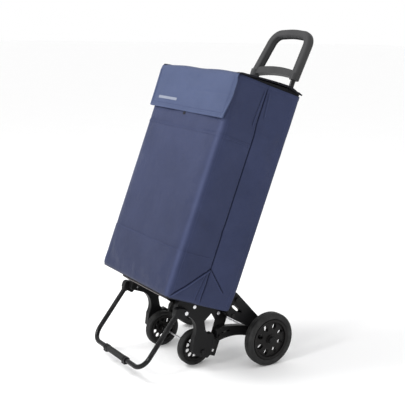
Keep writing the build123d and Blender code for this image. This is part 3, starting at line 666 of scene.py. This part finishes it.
def sew(name, cloths, rows):
    """Rows of stitches on layers of cloth: a row's two ends lie outside them, with the way in."""
    layers = [BVHTree.FromObject(cloth, bpy.context.evaluated_depsgraph_get()) for cloth in cloths]
    sewn = bmesh.new()
    for start, end, inward in rows:
        run = Vector(end) - Vector(start)
        count = int(run.length / STITCH_STEP)
        for number in range(count):
            spots = []
            for share in ((number + 0.15) / count, (number + 0.85) / count):
                hits = [layer.ray_cast(Vector(start) + run * share, Vector(inward)) for layer in layers]
                hits = [hit for hit in hits if hit[0]]
                if hits:
                    hit = min(hits, key=lambda one: one[3])
                    spots.append(hit[0] + hit[1] * STITCH_R * 0.4)
            if len(spots) == 2 and (spots[1] - spots[0]).length < 2 * STITCH_STEP:
                known = len(sewn.verts)
                sewn.from_mesh(stitch.data)
                sewn.verts.ensure_lookup_table()
                place = Matrix.Translation((spots[0] + spots[1]) / 2)
                turn = (spots[1] - spots[0]).to_track_quat("Z", "Y").to_matrix().to_4x4()
                bmesh.ops.transform(sewn, matrix=place @ turn, verts=sewn.verts[known:])
    mesh = bpy.data.meshes.new(name)
    sewn.to_mesh(mesh)
    sewn.free()
    thread = bpy.data.objects.new(name, mesh)
    bpy.context.scene.collection.objects.link(thread)
    smooth(thread, 60)
    return thread


bag = start_piece("bag_shell", bpy.ops.mesh.primitive_cube_add, (BAG_W / 2, BAG_D / 2, BAG_H / 2),
                  (0, BAG_D / 2, BAG_H / 2))
bpy.ops.object.mode_set(mode="EDIT")
pick(bag, "FACE", lambda face: face.normal.z > 0.9)
bpy.ops.mesh.delete(type="ONLY_FACE")
pick(bag, "EDGE", along(0))
bpy.ops.mesh.subdivide(number_cuts=CELLS_X - 1)
pick(bag, "EDGE", along(1))
bpy.ops.mesh.subdivide(number_cuts=2 * CELLS_HALF_Y - 1)
bpy.ops.mesh.select_all(action="SELECT")
bpy.ops.mesh.bisect(plane_co=(0, 0, FOLD_Z), plane_no=(0, 0, 1))
pick(bag, "EDGE", lambda edge: along(2)(edge) and middle(edge).z < FOLD_Z)
bpy.ops.mesh.subdivide(number_cuts=CELLS_LOW - 1)
pick(bag, "EDGE", lambda edge: along(2)(edge) and middle(edge).z > FOLD_Z)
bpy.ops.mesh.subdivide(number_cuts=CELLS_HIGH - 1)
for height in SEAM_LOW + SEAM_HIGH:
    bpy.ops.mesh.select_all(action="SELECT")
    bpy.ops.mesh.bisect(plane_co=(0, 0, height), plane_no=(0, 0, 1))
bpy.ops.mesh.select_all(action="SELECT")
bpy.ops.uv.cube_project(cube_size=1.0, correct_aspect=False, scale_to_bounds=False)
bpy.ops.object.mode_set(mode="OBJECT")
move_points(bag, bag_shape)


def held_share(co):
    """Stiff where the bag is sewn to its frame: the mouth, the base and the upright corners."""
    mouth = ease((co.z - BAG_H + 60 * MM) / (50 * MM))
    base = ease((34 * MM - co.z) / (24 * MM))
    corner = BAG_W / 2 - abs(co.x) + min(co.y, BAG_D - co.y)
    upright_seams = 0.7 * ease((22 * MM - corner) / (12 * MM))
    under_flap = 0.8 * ease((co.z - FLAP_LOW) / (30 * MM))
    return max(mouth, base, upright_seams, under_flap)


hang_cloth(bag, held_share)
apply_modifier(bag, "SUBSURF", levels=1, render_levels=1)


def near_line(start, end):
    """A test for the side faces that lie along a fold line."""

    def wanted(face):
        spot = middle(face)
        gap, share = beside(Vector((spot.y, spot.z)), start, end)
        return abs(face.normal.x) > 0.7 and abs(gap) < LINE_ROOM and -0.05 < share < 1.05

    return wanted


RIDGE_CUTS = (-RIDGE_OFF - RIDGE_HALF, -RIDGE_OFF)
LINE_CUTS = (-FOLD_LEAST, -LINE_CORE, 0, LINE_CORE, FOLD_LEAST)
bpy.ops.object.mode_set(mode="EDIT")
for start, end, deep, ridge in FOLD_LINES:
    across_line = Vector((0, start.y - end.y, end.x - start.x)).normalized()
    for offset in RIDGE_CUTS + LINE_CUTS:
        pick(bag, "FACE", near_line(start, end))
        spot = Vector((0, start.x, start.y)) + across_line * offset
        bpy.ops.mesh.bisect(plane_co=spot, plane_no=across_line)
bpy.ops.object.mode_set(mode="OBJECT")
# Painted highlight and painted shade for the cloth's finish, kept on the points.
wear = bag.data.attributes.new("wear", "FLOAT", "POINT")
for number, vertex in enumerate(bag.data.vertices):
    wear.data[number].value = painted_light_at(vertex.co)
move_points(bag, folded)

seams = []
for name, (low, high) in (("lower_lap", (4 * MM, SEAM_LOW[1])), ("upper_seam", SEAM_HIGH)):
    seams.append(sewn_strip(bag, name, lambda co: low < co.z < high and co.y < CREASE_HIGH, LAP_T))
seams.append(sewn_strip(bag, "mouth_hem", lambda co: co.z > bag_top(co.y) - HEM, LAP_T))

rows = []
for z in (SEAM_LOW[1] - 3 * MM, SEAM_HIGH[0] + 2 * MM, SEAM_HIGH[1] - 2 * MM):
    rows.append(((-BAG_W / 2 + CORNER_R, -AIM, z), (BAG_W / 2 - CORNER_R, -AIM, z), (0, 1, 0)))
    for side in (-1, 1):
        rows.append(((side * AIM, CORNER_R, z), (side * AIM, BAG_D / 2 - 6 * MM, z), (-side, 0, 0)))
for side in (-1, 1):
    for y in (CORNER_R + 2 * MM, BAG_D - CORNER_R - 2 * MM):
        rows.append(((side * AIM, y, CORNER_R), (side * AIM, y, BAG_H - HEM - 3 * MM), (-side, 0, 0)))
seam_thread = sew("seam_thread", (bag, *seams), rows)

apply_modifier(bag, "SOLIDIFY", thickness=FABRIC_T, offset=-1.0, material_offset=1, material_offset_rim=0)
smooth(bag, 60)
done(bag, "frame", [NAVY_CLOTH, LINING_CLOTH],
     ["bag_front", "bag_back", "bag_side_left", "bag_side_right", "bag_bottom"])
for seam in seams:
    done(seam, "frame", [NAVY_CLOTH])
done(seam_thread, "frame", [THREAD])


# ---------------------------------------------------------------- lining that stands up in the mouth
def lining_shape(co):
    """Follows the bag's folded sides, and stands a little proud of its mouth."""
    foot = BAG_H - LINING_H
    rise = (co.z - foot) / LINING_H
    y = min(max(co.y, 0.0), BAG_D)
    crown = BAG_H + 2 * MM + (REAR_H - BAG_H) * (y / BAG_D)
    co.z = foot + rise * (crown - foot)
    pucker = 0.9 * MM * math.sin(90 * co.x + 60 * co.y) * rise
    away = Vector((co.x, co.y - BAG_D / 2, 0)).normalized()
    proud = 2.2 * MM * ease((co.z - bag_top(y) + MM) / (3 * MM))
    co.y += rear_fullness(co)
    return folded(co + away * (proud - 0.9 * MM - pucker))


lining = start_piece("mouth_lining", bpy.ops.mesh.primitive_cube_add,
                     (BAG_W / 2 - LINING_IN, BAG_D / 2 - LINING_IN, LINING_H / 2),
                     (0, BAG_D / 2, BAG_H - LINING_H / 2))
bpy.ops.object.mode_set(mode="EDIT")
pick(lining, "FACE", lambda face: abs(face.normal.z) > 0.9)
bpy.ops.mesh.delete(type="ONLY_FACE")
pick(lining, "EDGE", along(2))
bpy.ops.mesh.bevel(offset=9 * MM, segments=4)
for axis, cuts in ((0, 39), (1, 23), (2, 7)):
    pick(lining, "EDGE", along(axis))
    bpy.ops.mesh.subdivide(number_cuts=cuts)
bpy.ops.mesh.select_all(action="SELECT")
bpy.ops.uv.cube_project(cube_size=1.0, correct_aspect=False, scale_to_bounds=False)
bpy.ops.object.mode_set(mode="OBJECT")
move_points(lining, lining_shape)
apply_modifier(lining, "SOLIDIFY", thickness=LINING_T, offset=-1.0)
apply_modifier(lining, "SUBSURF", levels=1, render_levels=1)
smooth(lining, 60)
done(lining, "frame", [LINING_CLOTH], ["bag_lining"])

# ================================================================ lid
LID_REAR = BAG_D + 1 * MM
LID_TOP = BAG_H + 4 * MM
LID_REAR_TOP = REAR_H + 4 * MM
top_run = LID_REAR - FLAP_Y - LID_FRONT_R
drop_run = LID_TOP + LID_T - LID_FRONT_R - FLAP_LOW
turn_run = LID_FRONT_R * math.pi / 2
LID_L = top_run + turn_run + drop_run


def lid_shape(co):
    """Lays the flat lid over the mouth, round its front edge and down the front."""
    x, s = co.x, co.y
    across = x / (LID_W / 2)
    if s < top_run:
        forward = s / top_run
        y = LID_REAR - s
        z = LID_REAR_TOP + (LID_TOP - LID_REAR_TOP) * forward + 3 * MM * math.sin(math.pi * forward)
    elif s < top_run + turn_run:
        angle = (s - top_run) / LID_FRONT_R
        y = FLAP_Y + LID_FRONT_R * (1 - math.sin(angle))
        z = LID_TOP - LID_FRONT_R * (1 - math.cos(angle))
    else:
        fall = s - top_run - turn_run
        y = FLAP_Y
        z = LID_TOP - LID_FRONT_R - fall
    hanging = ease((s - top_run) / (turn_run + 20 * MM))
    beyond = max(0.0, abs(x) - (BAG_W / 2 - CORNER_R))
    wrap = beyond * beyond / (2 * CORNER_R)
    right_curl = 0.3 - 0.5 * ease((FLAP_LOW + 60 * MM - z) / (60 * MM))
    y += hanging * wrap * (right_curl if x > 0 else 0.1)
    y += hanging * 1.6 * MM * math.sin(5.3 * across + 14 * z)
    crease = math.exp(-((z - FLAP_LOW - 62 * MM - 4 * MM * across) / (4 * MM)) ** 2)
    y += hanging * crease * 1.4 * MM * ease(across + 0.6)
    z += (1 - hanging) * 1.2 * MM * math.sin(7 * across + 20 * s)
    droop = 0.6 * ease((abs(across) - 0.6) / 0.4) + 0.8 * ease((abs(across) - 0.92) / 0.08)
    z -= REAR_DROOP * droop * ease(1 - s / (55 * MM))
    return Vector((x, y, z))


def flat_lid(name, half_w, length, cells_x, cells_y, place):
    """A flat rectangle of lid cloth, drawn as (across, along from the rear seam)."""
    sheet = start_piece(name, bpy.ops.mesh.primitive_grid_add, (half_w, length / 2, 1), place,
                        x_subdivisions=cells_x, y_subdivisions=cells_y)
    bpy.ops.object.mode_set(mode="EDIT")
    bpy.ops.mesh.select_all(action="SELECT")
    bpy.ops.uv.cube_project(cube_size=1.0, correct_aspect=False, scale_to_bounds=False)
    bpy.ops.object.mode_set(mode="OBJECT")
    return sheet


lid = flat_lid("lid_cloth", LID_W / 2, LID_L, LID_CELLS, LID_CELLS, (0, LID_L / 2, 0))
hem = cut_out(lid, "lid_hem", lambda co: co.y > top_run + turn_run
              and (abs(co.x) > LID_W / 2 - HEM_W or co.y > LID_L - HEM_W))
tape = cut_out(lid, "lid_tape", lambda co: co.y < top_run + 0.4 * turn_run
               and (abs(co.x) > LID_W / 2 - TAPE_W or co.y < TAPE_W))


def spread_edges(co, past):
    """Lets a strip reach just past the lid's own edges, so that it wraps them."""
    if abs(co.x) > LID_W / 2 - 0.1 * MM:
        co.x += math.copysign(past, co.x)
    if co.y < 0.1 * MM:
        co.y -= past
    if co.y > LID_L - 0.1 * MM:
        co.y += past / 2
    return co


LID_LAYERS = (                          # thickness, and how far past the lid's own edges
    (lid, LID_T, 0),
    (hem, LID_T + 1.3 * MM, 1.2 * MM),
    (tape, LID_T + 2 * MM, 1.6 * MM),
)
for piece, thick, past in LID_LAYERS:
    move_points(piece, lambda co: spread_edges(co, past))
    move_points(piece, lid_shape)
    apply_modifier(piece, "SUBSURF", levels=1, render_levels=1)
    if piece is lid:
        thread_rows = []
        for side in (-1, 1):
            x = side * (LID_W / 2 - 11 * MM)
            thread_rows.append(((x, -AIM, FLAP_LOW + 12 * MM), (x, -AIM, LID_TOP - LID_FRONT_R), (0, 1, 0)))
        half = LID_W / 2 - 12 * MM
        thread_rows.append(((-half, -AIM, FLAP_LOW + 11 * MM), (half, -AIM, FLAP_LOW + 11 * MM), (0, 1, 0)))
    # The cut edges of the lid and its hem take the second finish, the near-black lining: painted shade, a
    # dark line round the flap standing in for the shadow beneath its edges.
    apply_modifier(piece, "SOLIDIFY", thickness=thick, offset=0.0, material_offset=1, material_offset_rim=1)
    outward(piece)
    if piece is lid:
        lid_thread = sew("lid_thread", (piece,), thread_rows)
    smooth(piece, 60)
done(lid, "lid", [LID_CLOTH, LINING_CLOTH], ["lid_top", "lid_flap"])
done(hem, "lid", [LID_CLOTH, LINING_CLOTH])
done(tape, "lid", [WEBBING, WEBBING])
done(lid_thread, "lid", [THREAD])

# Plain woven label near the flap's lower left corner.
label_along = top_run + turn_run + LID_TOP - LID_FRONT_R - FLAP_LOW - LABEL_UP
label = flat_lid("plain_label", LABEL_W / 2, LABEL_H, 26, 4, (LABEL_X, label_along, 0))
move_points(label, lid_shape)
move_points(label, lambda co: co - Vector((0, LID_T / 2 + 0.35 * MM, 0)))
apply_modifier(label, "SOLIDIFY", thickness=0.6 * MM, offset=0.0)
outward(label)
smooth(label, 60)
done(label, "lid", [LABEL_CLOTH])
bpy.data.objects.remove(stitch)


# ================================================================ closing tab and webbing loops
tab_box = [upright(vertex.co) for vertex in NODES["closure_tab"].data.vertices]
tab_low, tab_high = min(co.z for co in tab_box), max(co.z for co in tab_box)
tab_y = sum(co.y for co in tab_box) / len(tab_box)
tab = start_piece("closure_tab_webbing", bpy.ops.mesh.primitive_cube_add,
                  (6.6 * MM, 0.9 * MM, (tab_high - tab_low) / 2), (0, tab_y, (tab_high + tab_low) / 2))
bpy.ops.object.mode_set(mode="EDIT")
pick(tab, "EDGE", along(2))
bpy.ops.mesh.subdivide(number_cuts=9)
pick(tab, "FACE", lambda face: face.normal.y < -0.9 and middle(face).z < tab_low + 12 * MM)
bpy.ops.mesh.extrude_region_move(TRANSFORM_OT_translate={"value": (0, -0.9 * MM, 0)})
bpy.ops.mesh.select_all(action="SELECT")
bpy.ops.uv.cube_project(cube_size=1.0, correct_aspect=False, scale_to_bounds=False)
bpy.ops.object.mode_set(mode="OBJECT")
apply_modifier(tab, "BEVEL", width=0.4 * MM, segments=2, limit_method="ANGLE")
smooth(tab, 45)
done(tab, "lid", [WEBBING], ["closure_tab"])

tube_boxes = [upright(vertex.co) for vertex in NODES["frame_tube_right"].data.vertices]
TUBE_X = sum(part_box("frame_tube_right")[end].x for end in (0, 1)) / 2
TUBE_R = (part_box("frame_tube_right")[1].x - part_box("frame_tube_right")[0].x) / 2
TUBE_Y = (max(co.y for co in tube_boxes) + min(co.y for co in tube_boxes)) / 2
STRAP_W = 30 * MM
STRAP_T = 1.5 * MM
STRAP_TAIL = 14 * MM
STRAP_REACH = TUBE_R + 0.4 * MM + STRAP_T / 2
STRAP_RUN = TUBE_Y - BAG_D - STRAP_T
STRAP_DROP = 45 * MM        # middle of the straps, below the mouth


def strap_shape(co):
    """Wraps a flat strap (length on X) round a tube, with both tails sewn to the back panel."""
    quarter_turn = math.pi * STRAP_REACH / 2
    length = abs(co.x)
    side = math.copysign(1, co.x)
    if length < quarter_turn:
        angle = length / STRAP_REACH
        return Vector((side * STRAP_REACH * math.sin(angle), TUBE_Y + STRAP_REACH * math.cos(angle), co.y))
    length -= quarter_turn
    if length < STRAP_RUN:
        return Vector((side * STRAP_REACH, TUBE_Y - length, co.y))
    return Vector((side * (STRAP_REACH + length - STRAP_RUN), BAG_D + STRAP_T, co.y))


strap_length = 2 * (math.pi * STRAP_REACH / 2 + STRAP_RUN + STRAP_TAIL)
straps = []
for word, side in (("left", -1), ("right", 1)):
    strap = flat_lid(f"webbing_loop_{word}", strap_length / 2, STRAP_W, 48, 6, (0, 0, 0))
    move_points(strap, strap_shape)
    move_points(strap, lambda co: co + Vector((side * TUBE_X, 0, BAG_H - STRAP_DROP)))
    apply_modifier(strap, "SOLIDIFY", thickness=STRAP_T, offset=0.0)
    outward(strap)
    apply_modifier(strap, "BEVEL", width=0.4 * MM, segments=2, limit_method="ANGLE")
    smooth(strap, 50)
    straps.append(strap)
for strap in straps:
    done(strap, "frame", [WEBBING], ["bag_loops"])

# ================================================================ rolled edge of the tray's flange, in pale steel as a painted highlight
tray_points = [upright(vertex.co) for vertex in NODES["platform"].data.vertices]
tray_front = min(co.y for co in tray_points)
front_edge = [co for co in tray_points if co.y < tray_front + MM]
tray_low = min(co.z for co in front_edge)
tray_half = max(co.x for co in front_edge) - 4 * MM
EDGE_R = 1.3 * MM
rolled_edge = start_piece("tray_rolled_edge", bpy.ops.mesh.primitive_cylinder_add,
                          (EDGE_R, EDGE_R, tray_half),
                          (0, tray_front + 0.4 * MM, tray_low + 0.6 * MM), (0, math.pi / 2, 0),
                          vertices=12, radius=1, depth=2)
apply_modifier(rolled_edge, "BEVEL", width=0.4 * MM, segments=2, limit_method="ANGLE", angle_limit=1.2)
smooth(rolled_edge, 50)
done(rolled_edge, "frame", [HIGHLIGHT_EDGE_STEEL])

# ================================================================ ribbed sleeve on the foot loop
sleeve_low, sleeve_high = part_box("foot_sleeve")
SLEEVE_R = (sleeve_high.z - sleeve_low.z) / 2
SLEEVE_L = sleeve_high.x - sleeve_low.x
sleeve_middle = (sleeve_low + sleeve_high) / 2
RIBS = 22
RIB_DEEP = 0.8 * MM
sleeve = start_piece("foot_sleeve_ribbed", bpy.ops.mesh.primitive_cylinder_add,
                     (SLEEVE_R, SLEEVE_R, SLEEVE_L / 2), sleeve_middle, (0, math.pi / 2, 0),
                     vertices=40, radius=1, depth=2)
bpy.ops.object.mode_set(mode="EDIT")
pick(sleeve, "EDGE", along(0))
bpy.ops.mesh.subdivide(number_cuts=4 * RIBS - 1)
bpy.ops.object.mode_set(mode="OBJECT")


def ribbed(co):
    """Shallow rings round the sleeve."""
    turns = (co.x - sleeve_low.x) / SLEEVE_L * RIBS
    wave = 0.5 - 0.5 * math.cos(2 * math.pi * turns)
    radial = Vector((0, co.y - sleeve_middle.y, co.z - sleeve_middle.z))
    return co + radial.normalized() * RIB_DEEP * (wave - 0.3)


move_points(sleeve, ribbed)
smooth(sleeve, 50)
sleeve.data.materials.append(SLEEVE_BLACK)
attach(sleeve, "foot")
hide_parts("foot_sleeve")


# ================================================================ floor, light and camera
fresh()
bpy.ops.mesh.primitive_plane_add(size=60)
floor = bpy.context.object
floor.name = "floor"
paint = Finish("floor_paint", Roughness=0.9, Specular_IOR_Level=0.1)
paint.feed("Base Color", paint.mix(paint.noise(paint.coords(), 3.0), grey(0.97), grey(0.985)))
floor.data.materials.append(paint.material)

world = bpy.data.worlds.new("studio")
bpy.context.scene.world = world
world.use_nodes = True
world.node_tree.nodes["Background"].inputs["Color"].default_value = grey(1.0)
world.node_tree.nodes["Background"].inputs["Strength"].default_value = 1.0
bpy.context.scene.view_settings.view_transform = "Standard"


def soft_light(name, place, size, power):
    """A square lamp that looks at the middle of the trolley."""
    data = bpy.data.lights.new(name, "AREA")
    data.size = size
    data.energy = power
    lamp = bpy.data.objects.new(name, data)
    bpy.context.scene.collection.objects.link(lamp)
    lamp.location = place
    lamp.rotation_euler = (Vector((0, 0, 0.45)) - Vector(place)).to_track_quat("-Z", "Y").to_euler()


soft_light("key_light", (-0.8, -1.6, 2.1), 1.0, 38)
soft_light("edge_light", (0.63, -2.5, 1.35), 0.35, 22)

CAMERA_TARGET = Vector((0.1132, -0.0944, 0.4884))
CAMERA_DISTANCE = 2.457
azimuth, elevation, roll = math.radians(56.2), math.radians(11.8), math.radians(1.7)
back = Vector((math.sin(azimuth) * math.cos(elevation), -math.cos(azimuth) * math.cos(elevation),
               math.sin(elevation)))
right = Vector((math.cos(azimuth), math.sin(azimuth), 0))
upward = back.cross(right)
side_axis = math.cos(roll) * right + math.sin(roll) * upward
up_axis = math.cos(roll) * upward - math.sin(roll) * right
camera_data = bpy.data.cameras.new("camera")
camera_data.lens = 77.9
camera_data.sensor_width = 36
camera = bpy.data.objects.new("camera", camera_data)
bpy.context.scene.collection.objects.link(camera)
turned = Matrix((side_axis, up_axis, back)).transposed().to_4x4()
camera.matrix_world = Matrix.Translation(CAMERA_TARGET + back * CAMERA_DISTANCE) @ turned
bpy.context.scene.camera = camera
